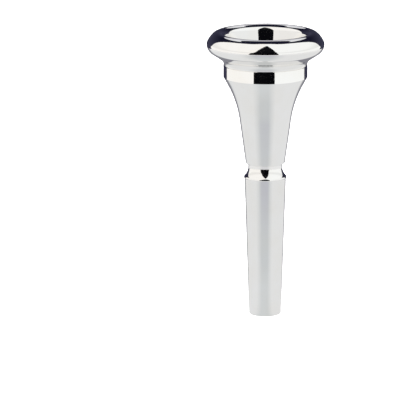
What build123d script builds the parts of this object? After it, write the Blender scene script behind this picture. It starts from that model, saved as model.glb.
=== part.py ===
from build123d import *
import os
from math import asin, atan2, cos, hypot, radians, sin, tan

# French horn mouthpiece, silver-plated brass, in three turned pieces that screw together:
# a stem that goes into the horn, a cup that screws onto the stem, and a rim that screws
# into the cup. A rubber seal ring sits at the root of each male thread.
# Millimetres and degrees. The origin is the centre of the stem's end face, +Z towards the rim.

# Rim
rim_d = 26.0             # widest part
rim_height = 7.35        # shoulder on the cup to the crest
edge_round = 1.3         # outer edge, at the widest part
slope_round = 5.2        # flatter slope from the outer edge to the crest
slope_foot_angle = 24.0  # where the slope starts, from upright
slope_top_angle = 47.0   # where it ends
crest_round = 1.8        # from the slope to the top of the rim
bite_round = 1.6         # inner edge, from the crest into the cup
under_round = 2.3        # under the widest part
cove_round = 1.6         # hollow above the band
skirt_set_in = 0.05      # how far the rim's skirt stands inside the band

# Cup
cup_length = 22.15       # stem shoulder to rim shoulder
band_height = 2.65       # plain band round the rim thread
flare_angle = 29.0       # body just under the band, from the axis
waist_angle = 8.0        # lower body, from the axis
bell_round = 23.0        # joins the flare to the lower body
band_wall = 0.70         # metal outside the rim's seal ring
cup_end_wall = 0.9       # metal outside the stem's seal ring
cup_end_round = 0.35     # lower outer corner

# Stem
shank_length = 30.95     # end face to where the lip rounds over
shank_end_d = 7.1        # small end, usual for horns
shank_taper = 0.067      # growth in diameter for each mm of length
shank_end_wall = 0.6     # metal round the bore at the end face
shank_end_round = 0.4
lip_height = 0.2
lip_set_out = 0.14       # how far the lip stands out from the shank
lip_round = 0.5          # over the lip into the neck
neck_length = 3.05       # lip to the shoulder under the cup
neck_straight = 0.67     # plain part of the neck, under the cup
neck_wall = 0.36         # shoulder outside the stem's seal ring
throat_d = 4.7           # narrowest bore
throat_length = 6.0      # straight part of the bore
throat_mouth_set_out = 0.25  # how far the bore opens out at the stem's tip
throat_mouth_height = 1.6

# Screw threads, right-handed
thread_pitch = 0.75
thread_crest = 0.14      # flat on top of the ridge
thread_flank_angle = 30.0
running_gap = 0.05       # radial clearance between male and female
flank_gap = 0.03         # more clearance along the axis
thread_run_out = 0.05    # plain length at each end of a male thread's ridge
tip_gap = 0.05           # end of a spigot to the floor of its socket
rim_turns = 3.0          # turns until the rim's thread lets go
rim_thread_land = 0.148  # flat between two turns of the ridge
rim_spigot_wall = 0.68   # metal between the cup's cone and the rim's thread
stem_turns = 3.5         # turns until the stem's thread lets go
stem_thread_land = 0.24
stem_spigot_wall = 0.63  # metal between the throat and the stem's thread

# Seal rings, at their fitted size
rim_seal_section = 0.6
stem_seal_section = 0.46
seal_gap = 0.03          # space round a seal ring in its gland
groove_depth = 0.12      # seal's groove below the thread's root

edge_break = 0.06        # small bevel on turned edges
fillet_share = 0.98      # most that a fillet takes of the wall it sits on
seam_angle = 190.0       # turned faces close here, away from where the threads start

# Heights along the axis
stem_shoulder_z = shank_length + neck_length
rim_shoulder_z = stem_shoulder_z + cup_length
crest_z = rim_shoulder_z + rim_height
band_z = rim_shoulder_z - band_height
stem_gland_height = stem_seal_section + 2 * seal_gap
rim_gland_height = rim_seal_section + 2 * seal_gap
stem_tip_z = stem_shoulder_z + stem_gland_height + stem_turns * thread_pitch + edge_break
rim_tip_z = rim_shoulder_z - rim_gland_height - rim_turns * thread_pitch - edge_break

# Crown of the rim, from the widest part up to the crest
foot_cos = cos(radians(slope_foot_angle))
foot_sin = sin(radians(slope_foot_angle))
top_cos = cos(radians(slope_top_angle))
top_sin = sin(radians(slope_top_angle))
crown_width = edge_round * (1 - foot_cos) + slope_round * (foot_cos - top_cos) + crest_round * top_cos
crown_height = edge_round * foot_sin + slope_round * (top_sin - foot_sin) + crest_round * (1 - top_sin)
crest_r = rim_d / 2 - crown_width
widest_z = crest_z - crown_height

# Bore
throat_r = throat_d / 2
throat_mouth_r = throat_r + throat_mouth_set_out
shank_end_r = shank_end_d / 2
bore_end_r = shank_end_r - shank_end_wall

# Cup's inside: one straight cone from the stem's tip that runs smoothly into the rim's edge
bite_centre_z = crest_z - bite_round
cone_run = hypot(crest_r - throat_mouth_r, bite_centre_z - stem_tip_z)
cone_tilt = atan2(crest_r - throat_mouth_r, bite_centre_z - stem_tip_z) - asin(bite_round / cone_run)
bite_r = crest_r - bite_round * cos(cone_tilt)
bite_z = bite_centre_z + bite_round * sin(cone_tilt)


def cone_r(z):
    """Radius of the cup's inside at a height."""
    return throat_mouth_r + (z - stem_tip_z) * tan(cone_tilt)


# Threads: the ridge's two flanks fill what the crest and the land leave of one pitch
flank_slope = tan(radians(thread_flank_angle))
rim_thread_depth = (thread_pitch - thread_crest - rim_thread_land) / 2 / flank_slope
stem_thread_depth = (thread_pitch - thread_crest - stem_thread_land) / 2 / flank_slope
rim_ridge_margin = thread_run_out + thread_crest / 2 + rim_thread_depth * flank_slope
stem_ridge_margin = thread_run_out + thread_crest / 2 + stem_thread_depth * flank_slope

# Stem joint, from the throat outwards
stem_root_r = throat_r + stem_spigot_wall
stem_crest_r = stem_root_r + stem_thread_depth
stem_socket_r = stem_root_r + running_gap
stem_groove_r = stem_root_r - groove_depth
stem_gland_r = max(stem_groove_r + stem_seal_section + 2 * seal_gap, stem_crest_r + 2 * running_gap)
neck_r = stem_gland_r + neck_wall
cup_end_r = stem_gland_r + cup_end_wall

# Rim joint, from the cup's cone outwards
rim_root_r = cone_r(rim_shoulder_z) + rim_spigot_wall
rim_crest_r = rim_root_r + rim_thread_depth
rim_socket_r = rim_root_r + running_gap
rim_groove_r = rim_root_r - groove_depth
rim_gland_r = max(rim_groove_r + rim_seal_section + 2 * seal_gap, rim_crest_r + 2 * running_gap)
band_r = rim_gland_r + band_wall
skirt_r = band_r - skirt_set_in


def turned(*lines):
    """Solid turned about the axis, from lines that close an outline of radius and height."""
    edges = [edge for line in lines for edge in line.edges()]
    body = revolve(Plane.XZ * make_face(edges), Axis.Z, 360)
    return Rot(0, 0, seam_angle) * body


def thread_ridge(root_r, crest_r, start_z, turns, flank_gap=0.0):
    """Helical ridge that starts at angle zero; flank_gap widens it along the axis."""
    foot_r = root_r - running_gap
    crest_half = thread_crest / 2 + flank_gap
    foot_half = crest_half + (crest_r - foot_r) * flank_slope
    section = Polyline(
        (foot_r, start_z - foot_half),
        (crest_r, start_z - crest_half),
        (crest_r, start_z + crest_half),
        (foot_r, start_z + foot_half),
        close=True,
    )
    helix = Helix(thread_pitch, turns * thread_pitch, root_r, center=(0, 0, start_z))
    return sweep(Plane.XZ * make_face(section.edges()), path=helix, is_frenet=True)


def thread_groove(root_r, crest_r, start_z, turns):
    """Cutter for the female thread that a ridge of these radii runs in."""
    return thread_ridge(root_r + running_gap, crest_r + running_gap, start_z, turns, flank_gap)


def turned_back(shape, turns):
    """Shape screwed down by some turns."""
    return Pos(0, 0, -turns * thread_pitch) * Rot(0, 0, -360 * turns) * shape


def make_rim():
    """Rounded rim with its threaded spigot below."""
    down = widest_z - rim_shoulder_z - edge_break
    fit = min(1, fillet_share * down / (under_round + cove_round))
    under_r = under_round * fit
    cove_r = cove_round * fit
    under_centre = (rim_d / 2 - under_r, widest_z)
    cove_centre = (skirt_r + cove_r, rim_shoulder_z + edge_break)
    across = cove_centre[0] - under_centre[0]
    turn = asin((under_r + cove_r) / hypot(across, down)) - atan2(across, down)
    under_end = (under_centre[0] + under_r * cos(turn), under_centre[1] - under_r * sin(turn))
    cove_start = (cove_centre[0] - cove_r * cos(turn), cove_centre[1] + cove_r * sin(turn))
    slope_foot = (rim_d / 2 - edge_round * (1 - foot_cos), widest_z + edge_round * foot_sin)
    slope_top = (crest_r + crest_round * top_cos, crest_z - crest_round * (1 - top_sin))
    edge = TangentArc((rim_d / 2, widest_z), slope_foot, tangent=(0, 1))
    slope = TangentArc(slope_foot, slope_top, tangent=(-foot_sin, foot_cos))
    crown = TangentArc(slope_top, (crest_r, crest_z), tangent=(-top_sin, top_cos))
    under = TangentArc((rim_d / 2, widest_z), under_end, tangent=(0, -1))
    underside = Line(under_end, cove_start)
    cove = TangentArc((skirt_r, cove_centre[1]), cove_start, tangent=(0, 1))
    spigot = Polyline(
        (skirt_r, cove_centre[1]),
        (skirt_r - edge_break, rim_shoulder_z),
        (rim_groove_r, rim_shoulder_z),
        (rim_groove_r, rim_shoulder_z - rim_gland_height),
        (rim_root_r, rim_shoulder_z - rim_gland_height),
        (rim_root_r, rim_tip_z + edge_break),
        (rim_root_r - edge_break, rim_tip_z),
        (cone_r(rim_tip_z), rim_tip_z),
        (bite_r, bite_z),
    )
    bite = TangentArc((crest_r, crest_z), (bite_r, bite_z), tangent=(-1, 0))
    body = turned(edge, slope, crown, under, underside, cove, spigot, bite)
    ridge_turns = rim_turns - 2 * rim_ridge_margin / thread_pitch
    ridge_z = rim_tip_z + edge_break + rim_ridge_margin
    return body + thread_ridge(rim_root_r, rim_crest_r, ridge_z, ridge_turns)


def make_cup():
    """Cone-shaped cup with a socket for the rim above and one for the stem below."""
    flare = tan(radians(flare_angle))
    waist = tan(radians(waist_angle))
    waist_height = ((band_z - stem_shoulder_z) * flare - band_r + cup_end_r) / (flare - waist)
    waist_length = waist_height / cos(radians(waist_angle)) - cup_end_round
    flare_length = (band_z - stem_shoulder_z - waist_height) / cos(radians(flare_angle))
    bell_reach = fillet_share * min(waist_length, flare_length)
    bell_r = min(bell_round, bell_reach / tan(radians(flare_angle - waist_angle) / 2))
    outside = FilletPolyline(
        (stem_gland_r, stem_shoulder_z),
        (cup_end_r, stem_shoulder_z),
        (cup_end_r + waist_height * waist, stem_shoulder_z + waist_height),
        (band_r, band_z),
        (band_r, rim_shoulder_z - edge_break),
        (band_r - edge_break, rim_shoulder_z),
        (rim_gland_r, rim_shoulder_z),
        radius=[cup_end_round, bell_r, 0, 0, 0],
    )
    rim_floor_z = rim_tip_z - tip_gap
    stem_floor_z = stem_tip_z + tip_gap
    inside = Polyline(
        (rim_gland_r, rim_shoulder_z),
        (rim_gland_r, rim_shoulder_z - rim_gland_height),
        (rim_socket_r, rim_shoulder_z - rim_gland_height),
        (rim_socket_r, rim_floor_z),
        (cone_r(rim_floor_z), rim_floor_z),
        (cone_r(stem_floor_z), stem_floor_z),
        (stem_socket_r, stem_floor_z),
        (stem_socket_r, stem_shoulder_z + stem_gland_height),
        (stem_gland_r, stem_shoulder_z + stem_gland_height),
        (stem_gland_r, stem_shoulder_z),
    )
    body = turned(outside, inside)
    spare = 0.1
    rim_ridge_z = rim_tip_z + edge_break + rim_ridge_margin
    rim_groove = thread_groove(rim_root_r, rim_crest_r, rim_ridge_z, rim_turns + spare)
    stem_ridge_z = stem_shoulder_z + stem_gland_height + stem_ridge_margin
    stem_groove_turns = stem_turns - 2 * stem_ridge_margin / thread_pitch + 1 + spare
    stem_groove = thread_groove(stem_root_r, stem_crest_r, stem_ridge_z, stem_groove_turns)
    return body - turned_back(rim_groove, spare) - turned_back(stem_groove, 1)


def make_stem():
    """Tapered shank, lip and neck, with the threaded spigot that holds the cup."""
    lip_foot_z = shank_length - lip_height
    shank_top_r = shank_end_r + shank_taper / 2 * lip_foot_z
    lip_r = shank_top_r + lip_set_out
    throat_top_z = stem_tip_z - throat_mouth_height
    throat_end_z = throat_top_z - throat_length
    outside = FilletPolyline(
        (bore_end_r + edge_break, 0),
        (shank_end_r, 0),
        (shank_top_r, lip_foot_z),
        (lip_r, lip_foot_z + lip_set_out),
        (lip_r, shank_length),
        radius=[shank_end_round, 0, 0],
    )
    neck_foot = (neck_r, stem_shoulder_z - neck_straight)
    flare_turn = 2 * atan2(lip_r - neck_r, neck_foot[1] - shank_length)
    lip_top = (lip_r - lip_round * (1 - cos(flare_turn)), shank_length + lip_round * sin(flare_turn))
    neck = Line((neck_r, stem_shoulder_z), neck_foot)
    neck_flare = TangentArc(neck_foot, lip_top, tangent=(0, -1))
    lip_edge = TangentArc((lip_r, shank_length), lip_top, tangent=(0, 1))
    spigot = Polyline(
        (neck_r, stem_shoulder_z),
        (stem_groove_r, stem_shoulder_z),
        (stem_groove_r, stem_shoulder_z + stem_gland_height),
        (stem_root_r, stem_shoulder_z + stem_gland_height),
        (stem_root_r, stem_tip_z - edge_break),
        (stem_root_r - edge_break, stem_tip_z),
        (throat_mouth_r, stem_tip_z),
    )
    mouth = TangentArc((throat_r, throat_top_z), (throat_mouth_r, stem_tip_z), tangent=(0, 1))
    bore = Polyline(
        (throat_r, throat_top_z),
        (throat_r, throat_end_z),
        (bore_end_r, edge_break),
        (bore_end_r + edge_break, 0),
    )
    body = turned(outside, lip_edge, neck_flare, neck, spigot, mouth, bore)
    ridge_turns = stem_turns - 2 * stem_ridge_margin / thread_pitch
    ridge_z = stem_shoulder_z + stem_gland_height + stem_ridge_margin
    return body + thread_ridge(stem_root_r, stem_crest_r, ridge_z, ridge_turns)


def make_seal_ring(groove_r, section, middle_z):
    """Round-section rubber ring that sits just outside its groove."""
    return Pos(0, 0, middle_z) * Torus(groove_r + seal_gap + section / 2, section / 2)


rim_seal_z = rim_shoulder_z - seal_gap - rim_seal_section / 2
stem_seal_z = stem_shoulder_z + seal_gap + stem_seal_section / 2
parts = {
    "rim": make_rim(),
    "rim_seal_ring": make_seal_ring(rim_groove_r, rim_seal_section, rim_seal_z),
    "cup": make_cup(),
    "stem_seal_ring": make_seal_ring(stem_groove_r, stem_seal_section, stem_seal_z),
    "stem": make_stem(),
}

os.makedirs("parts", exist_ok=True)
for name, shape in parts.items():
    export_step(shape, f"parts/{name}.step")
    print(f"{name:15s} {len(shape.solids())} solid {shape.volume:9.2f} mm3")
print(f"overall length {crest_z:.2f}, inner edge of the rim {2 * bite_r:.2f}, band {2 * band_r:.2f}")
print(f"cup end {2 * cup_end_r:.2f}, neck {2 * neck_r:.2f}, cone {cone_tilt:.4f} rad")
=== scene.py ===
import logging
import math
from dataclasses import dataclass, field
from enum import Enum
from typing import Optional

import bpy
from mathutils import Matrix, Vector


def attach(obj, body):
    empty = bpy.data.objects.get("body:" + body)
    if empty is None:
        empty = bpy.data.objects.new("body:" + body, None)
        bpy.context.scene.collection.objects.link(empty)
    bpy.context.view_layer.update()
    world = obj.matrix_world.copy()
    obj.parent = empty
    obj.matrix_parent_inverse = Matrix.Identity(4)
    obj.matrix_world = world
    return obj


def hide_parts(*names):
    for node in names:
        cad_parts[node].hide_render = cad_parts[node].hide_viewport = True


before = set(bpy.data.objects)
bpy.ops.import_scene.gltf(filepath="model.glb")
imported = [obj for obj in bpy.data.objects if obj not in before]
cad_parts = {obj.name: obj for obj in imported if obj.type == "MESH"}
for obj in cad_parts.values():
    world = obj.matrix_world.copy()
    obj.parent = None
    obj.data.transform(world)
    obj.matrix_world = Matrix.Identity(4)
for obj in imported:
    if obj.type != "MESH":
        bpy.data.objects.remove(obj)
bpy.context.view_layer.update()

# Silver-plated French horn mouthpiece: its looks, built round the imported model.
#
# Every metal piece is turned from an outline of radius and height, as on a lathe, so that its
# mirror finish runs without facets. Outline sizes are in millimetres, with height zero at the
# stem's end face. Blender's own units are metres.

LOG = logging.getLogger("mouthpiece")
MM = 0.001          # one millimetre, in metres
SEGMENTS = 192      # points round a turned piece
THREAD_STEP = 0.03  # between two rings along a screw thread, in mm
Point = tuple[float, float]
Place = tuple[float, float, float]
Colour = tuple[float, float, float, float]
Socket = bpy.types.NodeSocket


class Skin(Enum):
    """Finish of one stretch of a turned surface, by its place among the piece's materials."""

    PLATE = 0
    THREAD = 1
    BORE = 2


# Turning


@dataclass
class Ring:
    """One ring of points on a turned piece.

    Args:
        r: Radius in mm.
        z: Height in mm.
        sharp: True where the surface has a crisp edge.
        skin: Finish of the band of faces that leads to it.
        threaded: True where a screw thread changes the radius.
    """

    r: float
    z: float
    sharp: bool
    skin: Skin
    threaded: bool = False


@dataclass
class Outline:
    """Closed outline of a turned piece, drawn as on the right of the axis.

    Args:
        skin: Finish of what is drawn next.
        rings: What has been drawn.
        support: How far inside the ends of a straight stretch its support rings lie, in mm.
        longest: Most that two rings of a straight stretch lie apart, in mm.
        arc_step: Most that two rings of an arc lie apart, in degrees.
        arc_fewest: Fewest steps in an arc.
    """

    skin: Skin = Skin.PLATE
    rings: list[Ring] = field(default_factory=list)
    support: float = 0.05
    longest: float = 1.5
    arc_step: float = 3.0
    arc_fewest: int = 4

    @property
    def end(self) -> Point:
        """Point the outline has reached."""
        return self.rings[-1].r, self.rings[-1].z

    def add(self, r: float, z: float, sharp: bool = False, threaded: bool = False) -> None:
        """Adds one ring."""
        self.rings.append(Ring(r, z, sharp, self.skin, threaded))

    def start(self, r: float, z: float, sharp: bool = True) -> "Outline":
        """Starts the outline at a point."""
        self.add(r, z, sharp)
        return self

    def line(self, r: float, z: float, sharp: bool = True, thread: bool = False) -> "Outline":
        """Draws a straight stretch, with a ring just inside each end that keeps it straight.

        Args:
            r: Radius at its end, in mm.
            z: Height at its end, in mm.
            sharp: True if it ends at a crisp edge.
            thread: True if a screw thread runs along it.

        Returns:
            The outline.
        """
        r0, z0 = self.end
        length = math.hypot(r - r0, z - z0)
        if thread:
            count = max(2, round(length / THREAD_STEP))
            stops = [i / count for i in range(1, count)]
        else:
            edge = min(self.support, length / 4) / length
            count = max(1, math.ceil(length / self.longest))
            stops = [edge] + [i / count for i in range(1, count)] + [1 - edge]
        for t in stops:
            self.add(r0 + (r - r0) * t, z0 + (z - z0) * t, threaded=thread)
        self.add(r, z, sharp)
        return self

    def arc(self, centre: Point, radius: float, start: float, end: float) -> "Outline":
        """Draws part of a circle.

        Args:
            centre: Its centre.
            radius: Its radius, in mm.
            start: Angle it starts at, in degrees from the outward direction.
            end: Angle it ends at.

        Returns:
            The outline.
        """
        count = max(self.arc_fewest, math.ceil(abs(end - start) / self.arc_step))
        for i in range(1, count + 1):
            angle = math.radians(start + (end - start) * i / count)
            self.add(centre[0] + radius * math.cos(angle), centre[1] + radius * math.sin(angle))
        return self

    def circle_to(self, centre: Point, end: Point) -> "Outline":
        """Draws the shorter arc round a centre to a point.

        Args:
            centre: The arc's centre.
            end: Where it ends.

        Returns:
            The outline.
        """
        first = math.degrees(math.atan2(self.end[1] - centre[1], self.end[0] - centre[0]))
        last = math.degrees(math.atan2(end[1] - centre[1], end[0] - centre[0]))
        last += 360 * round((first - last) / 360)
        return self.arc(centre, math.dist(centre, end), first, last)

    def arc_from(self, direction: float, end: Point) -> "Outline":
        """Draws the arc that leaves the last point in a direction and ends at a point.

        Args:
            direction: Direction it leaves in, in degrees from the outward direction.
            end: Where it ends.

        Returns:
            The outline.
        """
        r0, z0 = self.end
        across = (-math.sin(math.radians(direction)), math.cos(math.radians(direction)))
        chord = (end[0] - r0, end[1] - z0)
        radius = (chord[0] ** 2 + chord[1] ** 2) / 2 / (chord[0] * across[0] + chord[1] * across[1])
        return self.circle_to((r0 + radius * across[0], z0 + radius * across[1]), end)

    def arc_into(self, direction: float, end: Point) -> "Outline":
        """Draws the arc from the last point that runs smoothly into a straight stretch.

        Args:
            direction: Direction in which it would leave its end if drawn backwards, in degrees.
            end: Where it ends.

        Returns:
            The outline.
        """
        backwards = Outline().start(*end, sharp=False).arc_from(direction, self.end)
        for ring in backwards.rings[-2::-1]:
            self.add(ring.r, ring.z)
        return self

    def close(self) -> "Outline":
        """Drops the last ring, which repeats the first."""
        self.rings.pop()
        return self

    def rounded(self, corner: Point, radius: float, towards: Point) -> "Outline":
        """Draws a straight stretch to a rounded corner, and the corner's arc.

        Args:
            corner: Where the two straight stretches would meet.
            radius: Radius of the corner, in mm.
            towards: A point on the next straight stretch.

        Returns:
            The outline.
        """
        back = Vector(self.end) - Vector(corner)
        on = Vector(towards) - Vector(corner)
        back.normalize()
        on.normalize()
        half = back.angle(on) / 2
        reach = radius / math.tan(half)
        centre = Vector(corner) + (back + on).normalized() * (radius / math.sin(half))
        first = Vector(corner) + back * reach
        last = Vector(corner) + on * reach
        self.line(first.x, first.y, sharp=False)
        return self.circle_to((centre.x, centre.y), (last.x, last.y))


@dataclass(frozen=True)
class Thread:
    """Right-handed screw thread on a turned wall.

    Args:
        start_z: Height of the thread's middle where it starts, in mm.
        first: Turns back from the start at which it begins.
        turns: Turns up from the start at which it ends.
        depth: How far it stands from the wall, in mm.
        crest: Half its flat crest's width, in mm.
        pitch: Rise for one turn, in mm.
        flank: Slope of its flanks, in degrees from square to the axis.
    """

    start_z: float
    first: float
    turns: float
    depth: float
    crest: float
    pitch: float = 0.75
    flank: float = 30.0

    def relief(self, angle: float, z: float) -> float:
        """How far the wall moves at one place.

        Args:
            angle: Angle about the axis, in radians.
            z: Height in mm.

        Returns:
            The change in radius, in mm, which is outwards both for a ridge and for a socket's groove.
        """
        share = angle / (2 * math.pi)
        best = 0.0
        for whole in range(math.floor(self.first), math.ceil(self.turns) + 1):
            t = share + whole
            if self.first <= t <= self.turns:
                off = max(0.0, abs(z - self.start_z - self.pitch * t) - self.crest)
                best = max(best, self.depth - off / math.tan(math.radians(self.flank)))
        return best


def new_object(
    name: str, points: list[Place], faces: list[tuple[int, ...]], smooth: bool
) -> bpy.types.Object:
    """Makes an object from its points and faces.

    Args:
        name: Its name.
        points: Its points, in metres.
        faces: Its faces, each by the places of its corners among the points.
        smooth: True if its faces are shaded smoothly.

    Returns:
        The object.
    """
    mesh = bpy.data.meshes.new(name)
    mesh.from_pydata(points, [], faces)
    mesh.polygons.foreach_set("use_smooth", [smooth] * len(faces))
    made = bpy.data.objects.new(name, mesh)
    bpy.context.scene.collection.objects.link(made)
    return made


def turn(name: str, outline: Outline, *threads: Thread) -> bpy.types.Object:
    """Turns an outline about the axis.

    Args:
        name: Name of the new object.
        outline: Its closed outline.
        threads: Screw threads on the outline's threaded stretches.

    Returns:
        The object, with smooth faces and crisp edges where the outline asks for them.
    """
    rings = outline.rings
    area = sum(a.r * b.z - b.r * a.z for a, b in zip(rings, rings[1:] + rings[:1]))
    ordered = rings if area > 0 else rings[::-1]
    # A band of faces takes its finish from the later of its two rings, in the order they were drawn.
    skins = [ring.skin for ring in (ordered[1:] + ordered[:1] if area > 0 else ordered)]
    points = []
    for ring in ordered:
        for step in range(SEGMENTS):
            angle = 2 * math.pi * step / SEGMENTS
            r = ring.r + (max(thread.relief(angle, ring.z) for thread in threads) if ring.threaded else 0.0)
            points.append((r * MM * math.cos(angle), r * MM * math.sin(angle), ring.z * MM))
    faces = []
    for i in range(len(ordered)):
        low, high = i * SEGMENTS, (i + 1) % len(ordered) * SEGMENTS
        for step in range(SEGMENTS):
            after = (step + 1) % SEGMENTS
            faces.append((low + step, low + after, high + after, high + step))
    piece = new_object(name, points, faces, smooth=True)
    mesh = piece.data
    mesh.polygons.foreach_set("material_index", [skin.value for skin in skins for _ in range(SEGMENTS)])
    sharp = mesh.attributes.new("sharp_edge", "BOOLEAN", "EDGE")
    for edge in mesh.edges:
        a, b = (v // SEGMENTS for v in edge.vertices)
        sharp.data[edge.index].value = a == b and ordered[a].sharp
    mesh.update()
    return piece


# Finishes


@dataclass
class Sheet:
    """Node tree being drawn, with short calls that add and join its nodes."""

    tree: bpy.types.NodeTree

    def add(self, kind: str, **settings: object) -> bpy.types.Node:
        """Adds a node.

        Args:
            kind: The node's type name, without its ShaderNode prefix.
            settings: Values for the node's own settings.

        Returns:
            The node.
        """
        node = self.tree.nodes.new("ShaderNode" + kind)
        for name, value in settings.items():
            setattr(node, name, value)
        return node

    def join(self, source: Socket, target: Socket) -> None:
        """Joins two sockets."""
        self.tree.links.new(source, target)

    def maths(self, operation: str, first: object, second: object = 0.0) -> Socket:
        """Works out one sum.

        Args:
            operation: Name of the sum.
            first: First number or socket.
            second: Second number or socket.

        Returns:
            The socket with the answer.
        """
        node = self.add("Math", operation=operation)
        for socket, value in zip(node.inputs, (first, second)):
            if isinstance(value, Socket):
                self.join(value, socket)
            else:
                socket.default_value = value
        return node.outputs[0]

    def noise(self, where: Socket, size: float, detail: float = 2.0) -> Socket:
        """Adds soft noise.

        Args:
            where: Position, in metres.
            size: Size of its blotches, in mm.
            detail: How many finer layers it has.

        Returns:
            The socket with its strength.
        """
        node = self.add("TexNoise")
        node.inputs["Scale"].default_value = 1 / (size * MM)
        node.inputs["Detail"].default_value = detail
        self.join(where, node.inputs["Vector"])
        return node.outputs["Fac"]

    def rings(self, along: Socket, pitch: float) -> Socket:
        """Adds the uneven rings a turning tool or a polishing mop leaves.

        Args:
            along: Distance along the surface, in metres.
            pitch: Rough width of one ring, in mm.

        Returns:
            The socket with their height.
        """
        node = self.add("TexNoise", noise_dimensions="1D")
        node.inputs["Scale"].default_value = 1 / (pitch * MM)
        node.inputs["Detail"].default_value = 2.0
        self.join(along, node.inputs["W"])
        return node.outputs["Fac"]

    def between(
        self, value: Socket, low: float, high: float, start: float = 0.3, stop: float = 0.7
    ) -> Socket:
        """Spreads a value over a range.

        Args:
            value: The socket with the value.
            low: Result at its start.
            high: Result at its stop.
            start: Value that gives the low result.
            stop: Value that gives the high result.

        Returns:
            The socket with the result.
        """
        node = self.add("MapRange")
        node.inputs["From Min"].default_value = start
        node.inputs["From Max"].default_value = stop
        node.inputs["To Min"].default_value = low
        node.inputs["To Max"].default_value = high
        self.join(value, node.inputs["Value"])
        return node.outputs["Result"]

    def blend(self, share: Socket, first: object, second: object) -> Socket:
        """Blends two colours.

        Args:
            share: Share of the second colour.
            first: First colour, or a socket that gives it.
            second: Second colour, or a socket that gives it.

        Returns:
            The socket with the blend.
        """
        node = self.add("Mix", data_type="RGBA")
        self.join(share, node.inputs["Factor"])
        for socket, colour in zip(node.inputs[6:8], (first, second)):
            if isinstance(colour, Socket):
                self.join(colour, socket)
            else:
                socket.default_value = colour
        return node.outputs[2]

    def bump(self, height: Socket, depth: float, strength: float, under: Optional[Socket] = None) -> Socket:
        """Adds small relief.

        Args:
            height: The socket with its height.
            depth: Depth of the relief, in mm.
            strength: Share of it that shows.
            under: Relief it lies on.

        Returns:
            The socket with the surface's direction.
        """
        node = self.add("Bump")
        node.inputs["Strength"].default_value = strength
        node.inputs["Distance"].default_value = depth * MM
        self.join(height, node.inputs["Height"])
        if under:
            self.join(under, node.inputs["Normal"])
        return node.outputs["Normal"]

    def scaled(self, where: Socket, factors: Place) -> Socket:
        """Multiplies a position by a factor along each axis.

        Args:
            where: The position.
            factors: The three factors.

        Returns:
            The socket with the result.
        """
        node = self.add("VectorMath", operation="MULTIPLY")
        node.inputs[1].default_value = factors
        self.join(where, node.inputs[0])
        return node.outputs[0]

    def split(self, where: Socket) -> tuple[Socket, Socket, Socket]:
        """Splits a position.

        Args:
            where: The position.

        Returns:
            The sockets with its X, Y and Z.
        """
        node = self.add("SeparateXYZ")
        self.join(where, node.inputs[0])
        return node.outputs["X"], node.outputs["Y"], node.outputs["Z"]

    def place(self) -> tuple[Socket, Socket, Socket]:
        """Finds where a point of the surface is.

        Returns:
            Its position, its distance from the axis and its height, in metres.
        """
        where = self.add("TexCoord").outputs["Object"]
        x, y, height = self.split(where)
        flat = self.add("CombineXYZ")
        self.join(x, flat.inputs["X"])
        self.join(y, flat.inputs["Y"])
        size = self.add("VectorMath", operation="LENGTH")
        self.join(flat.outputs[0], size.inputs[0])
        return where, size.outputs["Value"], height

    def dress(self, shader: bpy.types.Node, colour: Socket, roughness: Socket, relief: Socket) -> None:
        """Joins a finish to its shader.

        Args:
            shader: The shader.
            colour: The finish's colour.
            roughness: Its roughness.
            relief: Its surface's direction.
        """
        for name, socket in (("Base Color", colour), ("Roughness", roughness), ("Normal", relief)):
            self.join(socket, shader.inputs[name])


def new_material(name: str) -> tuple[bpy.types.Material, Sheet, bpy.types.Node]:
    """Makes a material with an empty surface shader.

    Args:
        name: Its name.

    Returns:
        The material, its node sheet and its shader.
    """
    material = bpy.data.materials.new(name)
    material.use_nodes = True
    sheet = Sheet(material.node_tree)
    shader = material.node_tree.nodes["Principled BSDF"]
    return material, sheet, shader


@dataclass(frozen=True)
class SilverPlate:
    """Mirror-polished silver plate with faint polishing rings, soft smears and hairlines.

    Args:
        name: Name of the material.
        bright: Colour of the clean silver.
        warm: Colour where it has begun to tarnish.
        smooth: Roughness of the best polished places.
        smeared: Roughness of the smeared places.
        scratched: Roughness that the hairlines add.
        fine_ring: Width of the finest polishing rings, in mm.
        broad_ring: Width of the broad ones.
        outward: How fast the rings pass across a flat face, against up a wall.
        smear: Size of the smears, in mm.
        hair: Width of the patches of hairlines, in mm.
        hair_squash: How many times flatter than wide they are.
    """

    name: str = "polished_silver_plate"
    bright: Colour = (0.945, 0.94, 0.935, 1)
    warm: Colour = (0.925, 0.91, 0.885, 1)
    smooth: float = 0.025
    smeared: float = 0.07
    scratched: float = 0.03
    fine_ring: float = 0.09
    broad_ring: float = 0.9
    outward: float = 0.7
    smear: float = 5.0
    hair: float = 1.4
    hair_squash: float = 14.0

    def make(self) -> bpy.types.Material:
        """Makes the material."""
        material, sheet, shader = new_material(self.name)
        where, radius, height = sheet.place()
        along = sheet.maths("ADD", height, sheet.maths("MULTIPLY", radius, self.outward))
        fine = sheet.rings(along, self.fine_ring)
        broad = sheet.rings(along, self.broad_ring)
        smears = sheet.noise(where, self.smear, detail=3.0)
        hairs = sheet.noise(sheet.scaled(where, (1, 1, self.hair_squash)), self.hair, detail=4.0)
        polish = sheet.between(smears, self.smooth, self.smeared)
        scratches = sheet.between(hairs, 0, self.scratched, start=0.55, stop=0.75)
        relief = sheet.bump(fine, depth=0.0006, strength=0.25)
        relief = sheet.bump(broad, depth=0.002, strength=0.2, under=relief)
        shader.inputs["Metallic"].default_value = 1.0
        sheet.dress(
            shader,
            sheet.blend(sheet.between(smears, 0, 1), self.bright, self.warm),
            sheet.maths("ADD", polish, scratches),
            sheet.bump(hairs, depth=0.0012, strength=0.2, under=relief),
        )
        return material


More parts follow.
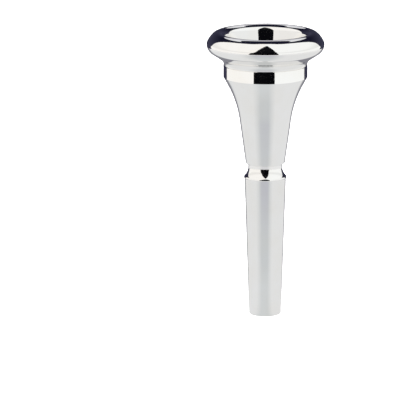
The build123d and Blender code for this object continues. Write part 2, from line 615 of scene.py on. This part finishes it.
@dataclass(frozen=True)
class ThreadMetal:
    """Turned screw thread: duller plate, with brass where the crests have rubbed.

    Args:
        name: Name of the material.
        plate: Colour of the plate in the thread's roots.
        brass: Colour of the rubbed crests.
        ring: Width of the tool's rings, in mm.
        blotch: Size of the worn blotches, in mm.
    """

    name: str = "rubbed_thread"
    plate: Colour = (0.72, 0.70, 0.66, 1)
    brass: Colour = (0.80, 0.60, 0.28, 1)
    ring: float = 0.05
    blotch: float = 0.8

    def make(self) -> bpy.types.Material:
        """Makes the material."""
        material, sheet, shader = new_material(self.name)
        where, _, height = sheet.place()
        blotches = sheet.noise(where, self.blotch, detail=3.0)
        crest = sheet.between(sheet.add("NewGeometry").outputs["Pointiness"], 0, 1, start=0.5, stop=0.62)
        rubbed = sheet.maths("MULTIPLY", crest, sheet.between(blotches, 0.3, 1))
        shader.inputs["Metallic"].default_value = 1.0
        sheet.dress(
            shader,
            sheet.blend(rubbed, self.plate, self.brass),
            sheet.between(blotches, 0.16, 0.30),
            sheet.bump(sheet.rings(height, self.ring), depth=0.003, strength=0.4),
        )
        return material


@dataclass(frozen=True)
class BoreFilm:
    """Inside of the stem: thin plate over brass, dulled, with streaks along the air way.

    Args:
        name: Name of the material.
        pale: Colour of the cleaner streaks.
        brown: Colour of the dull ones.
        streak: Width of a streak, in mm.
        streak_squash: How much flatter than wide it is, which below 1 makes it long.
        blotch: Size of the dull blotches, in mm.
    """

    name: str = "dull_bore"
    pale: Colour = (0.72, 0.62, 0.57, 1)
    brown: Colour = (0.40, 0.28, 0.24, 1)
    streak: float = 0.9
    streak_squash: float = 0.05
    blotch: float = 2.5

    def make(self) -> bpy.types.Material:
        """Makes the material."""
        material, sheet, shader = new_material(self.name)
        where, _, _ = sheet.place()
        streaks = sheet.noise(sheet.scaled(where, (1, 1, self.streak_squash)), self.streak, detail=4.0)
        blotches = sheet.noise(where, self.blotch, detail=3.0)
        shader.inputs["Metallic"].default_value = 1.0
        sheet.dress(
            shader,
            sheet.blend(sheet.between(streaks, 0, 1), self.brown, self.pale),
            sheet.between(blotches, 0.28, 0.45),
            sheet.bump(streaks, depth=0.01, strength=0.5),
        )
        return material


@dataclass(frozen=True)
class SealRubber:
    """Black rubber of the seal rings, faintly greasy.

    Args:
        name: Name of the material.
        black: Its main colour.
        grey: Colour of its dusty places.
        dust: Size of the dusty places, in mm.
        grain: Size of the surface's grain, in mm.
    """

    name: str = "black_seal_rubber"
    black: Colour = (0.012, 0.012, 0.013, 1)
    grey: Colour = (0.045, 0.044, 0.042, 1)
    dust: float = 0.6
    grain: float = 0.08

    def make(self) -> bpy.types.Material:
        """Makes the material."""
        material, sheet, shader = new_material(self.name)
        where, _, _ = sheet.place()
        dust = sheet.noise(where, self.dust, detail=4.0)
        sheet.dress(
            shader,
            sheet.blend(sheet.between(dust, 0, 1, start=0.45, stop=0.75), self.black, self.grey),
            sheet.between(dust, 0.38, 0.62),
            sheet.bump(sheet.noise(where, self.grain), depth=0.01, strength=0.4),
        )
        return material


@dataclass
class Finishes:
    """The mouthpiece's finishes, each made once."""

    plate: bpy.types.Material = field(default_factory=lambda: SilverPlate().make())
    thread: bpy.types.Material = field(default_factory=lambda: ThreadMetal().make())
    bore: bpy.types.Material = field(default_factory=lambda: BoreFilm().make())
    rubber: bpy.types.Material = field(default_factory=lambda: SealRubber().make())

    def metal(self) -> list[bpy.types.Material]:
        """Materials of a metal piece, in the order of Skin."""
        return [self.plate, self.thread, self.bore]


# Pieces


@dataclass
class Piece:
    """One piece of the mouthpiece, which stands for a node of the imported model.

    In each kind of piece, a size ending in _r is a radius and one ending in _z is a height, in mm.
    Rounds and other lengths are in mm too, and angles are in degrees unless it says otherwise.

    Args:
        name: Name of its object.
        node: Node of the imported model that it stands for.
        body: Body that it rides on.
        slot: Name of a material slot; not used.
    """

    name: str
    node: str
    body: str
    slot: str

    def place(self, piece: bpy.types.Object, materials: list[bpy.types.Material]) -> bpy.types.Object:
        """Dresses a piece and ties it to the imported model.

        Args:
            piece: The piece's object.
            materials: Its materials, in order.

        Returns:
            The piece.
        """
        for material in materials:
            piece.data.materials.append(material)
        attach(piece, self.body)
        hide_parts(self.node)
        return piece


@dataclass
class Cone:
    """The cup's inside, one straight cone through the cup and the rim.

    Args:
        foot_r: Radius at its foot, in mm.
        foot_z: Height of its foot, in mm.
        tilt: Slope of its wall from the axis, in radians.
    """

    foot_r: float = 2.6
    foot_z: float = 37.205
    tilt: float = 0.2462

    def r(self, z: float) -> float:
        """Radius at a height."""
        return self.foot_r + (z - self.foot_z) * math.tan(self.tilt)


@dataclass
class Rim(Piece):
    """Rounded rim with its threaded spigot."""

    name: str = "mouthpiece_rim"
    node: str = "rim"
    body: str = "rim"
    slot: str = "silver_plated_brass"
    widest_r: float = 13.0
    widest_z: float = 60.8
    crest_r: float = 10.456
    crest_z: float = 63.5
    bite: float = 1.6
    crest_round: float = 1.8
    slope_round: float = 5.2
    edge_round: float = 1.3
    slope_top: float = 47.0
    slope_foot: float = 24.0
    under: float = 2.3
    cove: float = 1.6
    skirt_r: float = 9.231
    shoulder_z: float = 56.15
    edge: float = 0.06
    groove_r: float = 7.921
    groove_z: float = 55.49
    root_r: float = 8.041
    tip_z: float = 53.18
    thread: Thread = Thread(53.591, 0.0, 2.064, 0.4, 0.07)
    cone: Cone = field(default_factory=Cone)

    def outline(self) -> Outline:
        """Outline from the widest part, over the crown, down the cup's inside and back outside."""
        bite_z = self.crest_z - self.bite
        tilt = math.degrees(self.cone.tilt)
        under = (self.widest_r - self.under, self.widest_z)
        cove = (self.skirt_r + self.cove, self.shoulder_z + self.edge)
        across, down = cove[0] - under[0], under[1] - cove[1]
        lean = math.asin((self.under + self.cove) / math.hypot(across, down)) - math.atan2(across, down)
        wall_top = (under[0] + self.under * math.cos(lean), under[1] - self.under * math.sin(lean))
        o = Outline().start(self.widest_r, self.widest_z, sharp=False)
        self.crown(o)
        o.arc((self.crest_r, bite_z), self.bite, 90, 180 - tilt)
        o.line(self.cone.r(self.tip_z), self.tip_z)
        o.skin = Skin.THREAD
        o.line(self.root_r - self.edge, self.tip_z)
        o.line(self.root_r, self.tip_z + self.edge)
        o.line(self.root_r, self.groove_z, thread=True)
        o.line(self.groove_r, self.groove_z)
        o.line(self.groove_r, self.shoulder_z)
        o.skin = Skin.PLATE
        o.line(self.skirt_r - self.edge, self.shoulder_z)
        o.line(self.skirt_r, self.shoulder_z + self.edge, sharp=False)
        o.arc(cove, self.cove, 180, 180 - math.degrees(lean))
        o.line(*wall_top, sharp=False)
        o.arc(under, self.under, -math.degrees(lean), 0)
        return o.close()

    def crown(self, o: Outline) -> None:
        """Draws the rounded outer edge, the flatter slope and the crest, from the widest part up."""
        foot = math.radians(self.slope_foot)
        edge = (self.widest_r - self.edge_round, self.widest_z)
        crest = (self.crest_r, self.crest_z - self.crest_round)
        reach = self.slope_round - self.edge_round
        slope = (edge[0] - reach * math.cos(foot), edge[1] - reach * math.sin(foot))
        o.arc(edge, self.edge_round, 0, self.slope_foot)
        o.arc(slope, self.slope_round, self.slope_foot, self.slope_top)
        o.arc(crest, self.crest_round, self.slope_top, 90)

    def build(self, finishes: Finishes) -> bpy.types.Object:
        """Turns and dresses the rim."""
        return self.place(turn(self.name, self.outline(), self.thread), finishes.metal())


@dataclass
class Cup(Piece):
    """Funnel-shaped cup with a socket at each end."""

    name: str = "mouthpiece_cup"
    node: str = "cup"
    body: str = "cup"
    slot: str = "silver_plated_brass"
    shoulder_z: float = 56.15
    edge: float = 0.06
    band_r: float = 9.281
    band_z: float = 53.5
    gland_r: float = 8.581
    gland_z: float = 55.49
    socket_r: float = 8.091
    floor_z: float = 53.13
    end_r: float = 4.30
    end_z: float = 34.0
    end_round: float = 0.35
    flare: float = 29.0
    waist: float = 8.0
    bell: float = 23.0
    stem_gland_r: float = 3.40
    stem_gland_z: float = 34.52
    stem_socket_r: float = 3.03
    stem_floor_z: float = 37.255
    rim_thread: Thread = Thread(53.591, -0.1, 3.0, 0.4, 0.10)
    stem_thread: Thread = Thread(34.825, -1.0, 2.787, 0.32, 0.10)
    cone: Cone = field(default_factory=Cone)

    def outline(self) -> Outline:
        """Outline from the band's foot, up and down through the inside, and up the body."""
        flare, waist = math.tan(math.radians(self.flare)), math.tan(math.radians(self.waist))
        height = ((self.band_z - self.end_z) * flare - self.band_r + self.end_r) / (flare - waist)
        bell = (self.end_r + height * waist, self.end_z + height)
        o = Outline().start(self.band_r, self.band_z)
        o.line(self.band_r, self.shoulder_z - self.edge)
        o.line(self.band_r - self.edge, self.shoulder_z)
        o.line(self.gland_r, self.shoulder_z)
        o.skin = Skin.THREAD
        o.line(self.gland_r, self.gland_z)
        o.line(self.socket_r, self.gland_z)
        o.line(self.socket_r, self.floor_z, thread=True)
        o.line(self.cone.r(self.floor_z), self.floor_z)
        o.skin = Skin.PLATE
        o.line(self.cone.r(self.stem_floor_z), self.stem_floor_z)
        o.skin = Skin.THREAD
        o.line(self.stem_socket_r, self.stem_floor_z)
        o.line(self.stem_socket_r, self.stem_gland_z, thread=True)
        o.line(self.stem_gland_r, self.stem_gland_z)
        o.line(self.stem_gland_r, self.end_z)
        o.skin = Skin.PLATE
        o.rounded((self.end_r, self.end_z), self.end_round, bell)
        o.rounded(bell, self.bell, (self.band_r, self.band_z))
        o.line(self.band_r, self.band_z)
        return o.close()

    def build(self, finishes: Finishes) -> bpy.types.Object:
        """Turns and dresses the cup."""
        piece = turn(self.name, self.outline(), self.rim_thread, self.stem_thread)
        return self.place(piece, finishes.metal())


@dataclass
class Stem(Piece):
    """Tapered shank with its lip, hollow neck, bore and threaded spigot."""

    name: str = "mouthpiece_stem"
    node: str = "stem"
    body: str = "stem"
    slot: str = "silver_plated_brass"
    end_r: float = 3.55
    end_round: float = 0.4
    taper: float = 0.0335
    lip_z: float = 30.75
    lip_out: float = 0.14
    lip_top_z: float = 30.95
    lip_round: float = 0.5
    neck_r: float = 3.76
    neck_z: float = 34.0
    neck_straight: float = 0.67
    groove_r: float = 2.86
    groove_z: float = 34.52
    root_r: float = 2.98
    tip_z: float = 37.205
    edge: float = 0.06
    mouth_r: float = 2.6
    throat_r: float = 2.35
    throat_top_z: float = 35.605
    throat_end_z: float = 29.605
    bore_r: float = 2.95
    thread: Thread = Thread(34.825, 0.0, 2.687, 0.32, 0.07)

    def outline(self) -> Outline:
        """Outline from the end face, up the shank, round the spigot and down the bore."""
        top_r = self.end_r + self.taper * self.lip_z
        o = Outline().start(self.bore_r + self.edge, 0)
        o.rounded((self.end_r, 0), self.end_round, (top_r, self.lip_z))
        o.line(top_r, self.lip_z)
        o.line(top_r + self.lip_out, self.lip_z + self.lip_out)
        o.line(top_r + self.lip_out, self.lip_top_z)
        self.neck(o)
        o.skin = Skin.THREAD
        o.line(self.groove_r, self.neck_z)
        o.line(self.groove_r, self.groove_z)
        o.line(self.root_r, self.groove_z)
        o.line(self.root_r, self.tip_z - self.edge, thread=True)
        o.line(self.root_r - self.edge, self.tip_z)
        o.line(self.mouth_r, self.tip_z)
        o.skin = Skin.BORE
        o.arc_into(90, (self.throat_r, self.throat_top_z))
        o.line(self.throat_r, self.throat_end_z)
        o.line(self.bore_r, self.edge)
        return o

    def neck(self, o: Outline) -> None:
        """Draws the neck: rounded over the lip, then hollow, then plain under the cup."""
        lip_r, lip_z = o.end
        foot_z = self.neck_z - self.neck_straight
        bend = 2 * math.atan2(lip_r - self.neck_r, foot_z - lip_z)
        over, up = self.lip_round * (1 - math.cos(bend)), self.lip_round * math.sin(bend)
        o.arc_from(90, (lip_r - over, lip_z + up))
        o.arc_into(-90, (self.neck_r, foot_z))
        o.line(self.neck_r, self.neck_z)

    def build(self, finishes: Finishes) -> bpy.types.Object:
        """Turns and dresses the stem."""
        return self.place(turn(self.name, self.outline(), self.thread), finishes.metal())


@dataclass
class SealRing(Piece):
    """Round-section rubber ring at the root of a screw thread.

    Args:
        middle_r: Radius of the middle of its section.
        middle_z: Height of the middle of its section.
        section_r: Radius of its section.
        section_step: Degrees between two points of its section.
    """

    middle_r: float
    middle_z: float
    section_r: float
    section_step: float = 12.0

    def build(self, finishes: Finishes) -> bpy.types.Object:
        """Turns and dresses the ring."""
        o = Outline(arc_step=self.section_step)
        o.start(self.middle_r + self.section_r, self.middle_z, sharp=False)
        o.arc((self.middle_r, self.middle_z), self.section_r, 0, 360)
        return self.place(turn(self.name, o.close()), [finishes.rubber])


# Studio


class Seen(Enum):
    """Which rays see a part of the studio."""

    BY_CAMERA = "camera"
    BY_MIRRORS = "mirrors"


def spread(first: float, last: float, steps: int) -> list[float]:
    """Gives evenly spread values.

    Args:
        first: The first value.
        last: The last value.
        steps: Steps between them.

    Returns:
        The values, with both ends.
    """
    return [first + (last - first) * i / steps for i in range(steps + 1)]


@dataclass(frozen=True)
class TableGlow:
    """Painted light and shade of the table top that the metal mirrors, on a glowing sheet that is no lamp.

    Args:
        middle: Colour round the mouthpiece, darkened with painted shade.
        ahead: Colour of the middle a little way in front, with deeper painted shade.
        sides: Colour to the left and right, with brighter painted light.
        stripe: Colour of the painted reflection of the dark stand, a stripe further in front.
        edge: Colour at the table's edge, with the brightest painted light.
        behind: Colour straight behind, a painted shadow.
        shift: How far left the middle lies, as a share of the distance from the mouthpiece.
    """

    middle: Colour = (0.65, 0.675, 0.685, 1)
    ahead: Colour = (0.60, 0.625, 0.64, 1)
    sides: Colour = (0.79, 0.80, 0.805, 1)
    stripe: Colour = (0.53, 0.54, 0.59, 1)
    edge: Colour = (0.93, 0.93, 0.93, 1)
    behind: Colour = (0.24, 0.24, 0.27, 1)
    shift: float = 0.07

    def draw(self, sheet: Sheet, reach: float) -> Socket:
        """Draws the painted light and shade.

        Args:
            sheet: Node sheet to draw on.
            reach: Radius of the table, in metres.

        Returns:
            The socket with its colour.
        """
        where, radius, _ = sheet.place()
        x, y, _ = sheet.split(where)
        side = sheet.maths("ABSOLUTE", sheet.maths("ADD", sheet.maths("DIVIDE", x, radius), self.shift))
        # Painted shade round the mouthpiece, deeper a little way in front, and brighter painted light to
        # the left and right.
        front = sheet.between(y, 1, 0, start=-0.045, stop=-0.028)
        colour = sheet.blend(front, self.middle, self.ahead)
        colour = sheet.blend(sheet.between(side, 0, 1, start=0.3, stop=0.75), colour, self.sides)
        # Painted reflection of the dark stand: a darker stripe on the table further in front.
        narrow = sheet.between(side, 1, 0, start=0.28, stop=0.52)
        far = sheet.between(y, 1, 0, start=-0.11, stop=-0.065)
        colour = sheet.blend(sheet.maths("MULTIPLY", narrow, far), colour, self.stripe)
        # Painted light, brighter towards the table's edge.
        colour = sheet.blend(sheet.between(radius, 0, 1, start=0.12, stop=reach), colour, self.edge)
        # Painted shadow straight behind the mouthpiece.
        back = sheet.between(sheet.maths("DIVIDE", y, radius), 0, 1, start=0.76, stop=0.86)
        return sheet.blend(back, colour, self.behind)


@dataclass
class Studio:
    """Pale floor for the camera, and the surroundings that only the metal mirrors.

    These are a table, a small white light tent open behind, a dark stand in front and a greyish
    sheet high behind. Lengths are in metres and angles in degrees, round from the front or up from
    the rim. Fields ending in _r are radii.
    """

    floor_r: float = 1.8
    floor_bend: float = 0.4      # radius of the curve up to the floor's wall
    floor_top: float = 0.9
    table_r: float = 0.236
    tent_r: float = 0.24
    tent_z: float = 0.06         # height that rises are counted from
    tent_foot: float = -16.0
    tent_turn: float = 131.0     # how far round each wall goes
    tent_rise: float = 74.0      # height of the arch
    tent_arch: float = 2.6       # power that squares the arch's shoulders
    tent_peak: float = 4.0       # how much higher it is in front
    peak_turn: float = 50.0
    peak_power: float = 4.0
    tent_dull: float = 0.88      # brightness of the duller band round its middle
    stand_r: float = 0.21
    patch_turn: float = 64.0     # how far it goes each way from straight behind
    patch_low: float = 20.0      # lower edge straight behind
    patch_low_slope: float = 0.68
    patch_high: float = 50.0     # upper edge straight behind
    patch_high_gain: float = 14.0
    patch_gain_turn: float = 60.0
    lamp_distance: float = 0.60
    lamp_turn: float = 62.0
    lamp_rise: float = 42.0
    lamp_size: tuple[float, float] = (0.46, 0.34)
    lamp_power: float = 9.0
    lamp_aim_z: float = 0.05
    elevation: float = 11.7
    distance: float = 1.5
    lens: float = 610.0
    aim: Place = (-0.01443, 0.0, 0.0257)

    def build(self) -> None:
        """Sets up the whole studio."""
        self.floor()
        self.table()
        self.tent(-1, "tent_left", (1.0, 0.985, 0.955, 1))
        self.tent(1, "tent_right", (0.985, 1.0, 0.99, 1))
        self.stand()
        self.patch()
        self.lamps()
        self.surround()
        self.camera()

    def show(self, thing: bpy.types.Object, seen: Seen) -> None:
        """Marks a thing as part of the studio and says which rays see it.

        Args:
            thing: The thing.
            seen: Who sees it.
        """
        thing.visible_camera = seen is Seen.BY_CAMERA
        thing.visible_glossy = seen is Seen.BY_MIRRORS
        thing.visible_transmission = seen is Seen.BY_CAMERA
        if seen is Seen.BY_MIRRORS:
            thing.visible_diffuse = False
            thing.visible_shadow = False

    def glow(self, thing: bpy.types.Object, name: str) -> tuple[Sheet, Socket]:
        """Gives a thing a material that only gives light, and lets only the metal mirror it.

        Args:
            thing: The thing.
            name: Name of the material.

        Returns:
            The material's node sheet and the socket that takes its colour.
        """
        material = bpy.data.materials.new(name)
        material.use_nodes = True
        sheet = Sheet(material.node_tree)
        material.node_tree.nodes.remove(material.node_tree.nodes["Principled BSDF"])
        emission = sheet.add("Emission")
        emission.inputs["Strength"].default_value = 1.0
        sheet.join(emission.outputs[0], material.node_tree.nodes["Material Output"].inputs["Surface"])
        thing.data.materials.append(material)
        self.show(thing, Seen.BY_MIRRORS)
        return sheet, emission.inputs["Color"]

    def disc(self, name: str, profile: list[Point], segments: int = 96) -> bpy.types.Object:
        """Makes a round sheet from its outline.

        Args:
            name: Name of the object.
            profile: Radius and height of each ring, in metres, from the middle outwards.
            segments: Points in each ring.

        Returns:
            The object.
        """
        points = [(0.0, 0.0, profile[0][1])]
        faces = []
        for row, (r, z) in enumerate(profile):
            low, high = 1 + (row - 1) * segments, 1 + row * segments
            for step in range(segments):
                angle = 2 * math.pi * step / segments
                points.append((r * math.cos(angle), r * math.sin(angle), z))
                after = (step + 1) % segments
                if row:
                    faces.append((low + step, high + step, high + after, low + after))
                else:
                    faces.append((0, 1 + step, 1 + after))
        return new_object(name, points, faces, smooth=True)

    def floor(self) -> None:
        """Lays the pale floor, which curves up far from the mouthpiece."""
        flat_r = self.floor_r - self.floor_bend
        profile = [(r, 0.0) for r in (0.05, 0.3, 0.9, flat_r)]
        for degrees in spread(0, 90, 12)[1:]:
            out, up = math.sin(math.radians(degrees)), 1 - math.cos(math.radians(degrees))
            profile.append((flat_r + self.floor_bend * out, self.floor_bend * up))
        profile.append((self.floor_r, self.floor_top))
        floor = self.disc("floor", profile)
        material, _, shader = new_material("pale_floor")
        shader.inputs["Base Color"].default_value = (0.6, 0.6, 0.6, 1)
        shader.inputs["Roughness"].default_value = 0.9
        shader.inputs["Emission Color"].default_value = (1, 1, 1, 1)
        shader.inputs["Emission Strength"].default_value = 0.86
        floor.data.materials.append(material)
        self.show(floor, Seen.BY_CAMERA)

    def table(self) -> None:
        """Lays the table top, a glowing sheet that only the metal mirrors, with its light and shade painted
        on.
        """
        table = self.disc("table_top", [(r, 0.0) for r in (0.03, 0.08, 0.16, self.table_r)])
        sheet, colour = self.glow(table, "table_glow")
        sheet.join(TableGlow().draw(sheet, self.table_r), colour)

    def way(self, around: float, rise: float, radius: float) -> Place:
        """Finds a point of the tent's cloth, which is round above the rim's level and upright below.

        Args:
            around: Degrees round from the front.
            rise: Degrees up from the level of the rim.
            radius: The cloth's radius.

        Returns:
            The point, in metres.
        """
        angle, up = math.radians(around), math.radians(rise)
        flat = radius * math.cos(max(up, 0.0))
        height = radius * (math.sin(up) if up > 0 else math.tan(up))
        return flat * math.sin(angle), -flat * math.cos(angle), max(0.0, self.tent_z + height)

    def cloth(self, name: str, columns: list[list[Place]]) -> bpy.types.Object:
        """Makes a sheet from a grid of points.

        Args:
            name: Name of the object.
            columns: The grid's columns, all of one length.

        Returns:
            The object.
        """
        rows = len(columns[0])
        faces = []
        for i in range(len(columns) - 1):
            for k in range(rows - 1):
                low = i * rows + k
                faces.append((low, low + rows, low + rows + 1, low + 1))
        return new_object(name, [point for column in columns for point in column], faces, smooth=False)

    def tent(self, side: int, name: str, tint: Colour) -> None:
        """Hangs one wall of the light tent, arched down towards the back.

        Args:
            side: -1 for the left wall, 1 for the right one.
            name: Its name.
            tint: Its colour.
        """
        columns = []
        for around in spread(0, self.tent_turn, 48):
            top = self.tent_rise * math.sqrt(max(0.0, 1 - (around / self.tent_turn) ** self.tent_arch))
            top += self.tent_peak * math.exp(-((around / self.peak_turn) ** self.peak_power))
            rises = spread(self.tent_foot, top, 24)
            columns.append([self.way(side * around, rise, self.tent_r) for rise in rises])
        sheet, colour = self.glow(self.cloth(name, columns), name + "_cloth")
        _, _, height = sheet.place()
        red, green, blue, _ = (self.tent_dull * channel for channel in tint)
        low = sheet.between(height, 0, 1, start=0.075, stop=0.10)
        high = sheet.between(height, 1, 0, start=0.13, stop=0.17)
        sheet.join(sheet.blend(sheet.maths("MULTIPLY", low, high), tint, (red, green, blue, 1)), colour)

    def stand(self) -> None:
        """Stands a dark shape in front, broad at its foot and leaning a little."""
        # Degrees up, half its width there in degrees, and how far its middle leans to the right
        sides = [
            (-17, 29, -4), (8, 25.5, -4), (20, 23, -1), (38, 20, 0), (50, 15, 1), (59, 9, 2), (66, 3, 4)
        ]
        columns = [
            [self.way(around, rise, self.stand_r) for around in spread(lean - half, lean + half, 12)]
            for rise, half, lean in sides
        ]
        sheet, colour = self.glow(self.cloth("dark_stand", columns), "dark_stand_black")
        _, _, height = sheet.place()
        up = sheet.between(height, 0, 1, start=0.1, stop=0.25)
        sheet.join(sheet.blend(up, (0.002, 0.002, 0.003, 1), (0.006, 0.006, 0.008, 1)), colour)

    def patch(self) -> None:
        """Hangs a greyish sheet high behind, which leaves a dark arch between it and the tent."""
        columns = []
        for around in spread(180 - self.patch_turn, 180 + self.patch_turn, 32):
            off = abs(180 - around)
            low = self.patch_low + self.patch_low_slope * off
            high = self.patch_high + self.patch_high_gain * min(1.0, off / self.patch_gain_turn)
            columns.append([self.way(around, rise, self.tent_r) for rise in spread(low, high, 8)])
        sheet, colour = self.glow(self.cloth("patch_behind", columns), "patch_cloth")
        where, radius, _ = sheet.place()
        x, _, _ = sheet.split(where)
        side = sheet.maths("DIVIDE", sheet.maths("ABSOLUTE", x), radius)
        side = sheet.between(side, 0, 1, start=0.15, stop=0.6)
        sheet.join(sheet.blend(side, (0.62, 0.62, 0.66, 1), (0.85, 0.86, 0.88, 1)), colour)

    def lamps(self) -> None:
        """Hangs the two soft lamps outside the tent, which light what isn't metal."""
        around, rise = math.radians(self.lamp_turn), math.radians(self.lamp_rise)
        flat = math.cos(rise)
        for side, name in ((-1, "lamp_left"), (1, "lamp_right")):
            way = Vector((side * math.sin(around) * flat, -math.cos(around) * flat, math.sin(rise)))
            data = bpy.data.lights.new(name, "AREA")
            data.shape = "RECTANGLE"
            data.size, data.size_y = self.lamp_size
            data.energy = self.lamp_power
            data.color = (1.0, 0.985, 0.97)
            lamp = bpy.data.objects.new(name, data)
            lamp.location = way * self.lamp_distance + Vector((0, 0, self.lamp_aim_z))
            lamp.rotation_mode = "QUATERNION"
            lamp.rotation_quaternion = way.to_track_quat("Z", "Y")
            lamp.visible_glossy = False
            lamp.visible_camera = False
            bpy.context.scene.collection.objects.link(lamp)

    def surround(self) -> None:
        """Makes the room a dark blue that is darkest overhead."""
        world = bpy.data.worlds.new("dim_room")
        world.use_nodes = True
        bpy.context.scene.world = world
        sheet = Sheet(world.node_tree)
        _, _, up = sheet.split(sheet.add("TexCoord").outputs["Generated"])
        ramp = sheet.add("ValToRGB")
        low, high = ramp.color_ramp.elements
        low.position, low.color = 0.02, (0.045, 0.045, 0.075, 1)
        high.position, high.color = 0.55, (0.008, 0.008, 0.02, 1)
        sheet.join(up, ramp.inputs["Fac"])
        sheet.join(ramp.outputs["Color"], world.node_tree.nodes["Background"].inputs["Color"])

    def camera(self) -> None:
        """Sets up the camera, far back with a long lens."""
        data = bpy.data.cameras.new("camera")
        data.lens = self.lens
        data.sensor_width = 36.0
        data.clip_end = 10.0
        camera = bpy.data.objects.new("camera", data)
        rise = math.radians(self.elevation)
        back = Vector((0, -math.cos(rise), math.sin(rise)))
        camera.location = Vector(self.aim) + back * self.distance
        camera.rotation_mode = "QUATERNION"
        camera.rotation_quaternion = back.to_track_quat("Z", "Y")
        bpy.context.scene.collection.objects.link(camera)
        bpy.context.scene.camera = camera


def main() -> None:
    """Builds the mouthpiece from its stem up, then the studio, and reports each piece."""
    logging.basicConfig(level=logging.INFO, format="%(message)s")
    finishes = Finishes()
    pieces = [
        Stem(),
        SealRing(
            "stem_rubber_ring", "stem_seal_ring", "stem_seal", "seal_rubber",
            middle_r=3.12, middle_z=34.26, section_r=0.23,
        ),
        Cup(),
        SealRing(
            "rim_rubber_ring", "rim_seal_ring", "rim_seal", "seal_rubber",
            middle_r=8.251, middle_z=55.82, section_r=0.3,
        ),
        Rim(),
    ]
    for piece in pieces:
        made = piece.build(finishes)
        LOG.info("%s: %d faces, rides on %s", made.name, len(made.data.polygons), piece.body)
    Studio().build()
    bpy.context.scene.view_settings.view_transform = "Standard"
    bpy.context.view_layer.update()


if __name__ == "__main__":
    main()
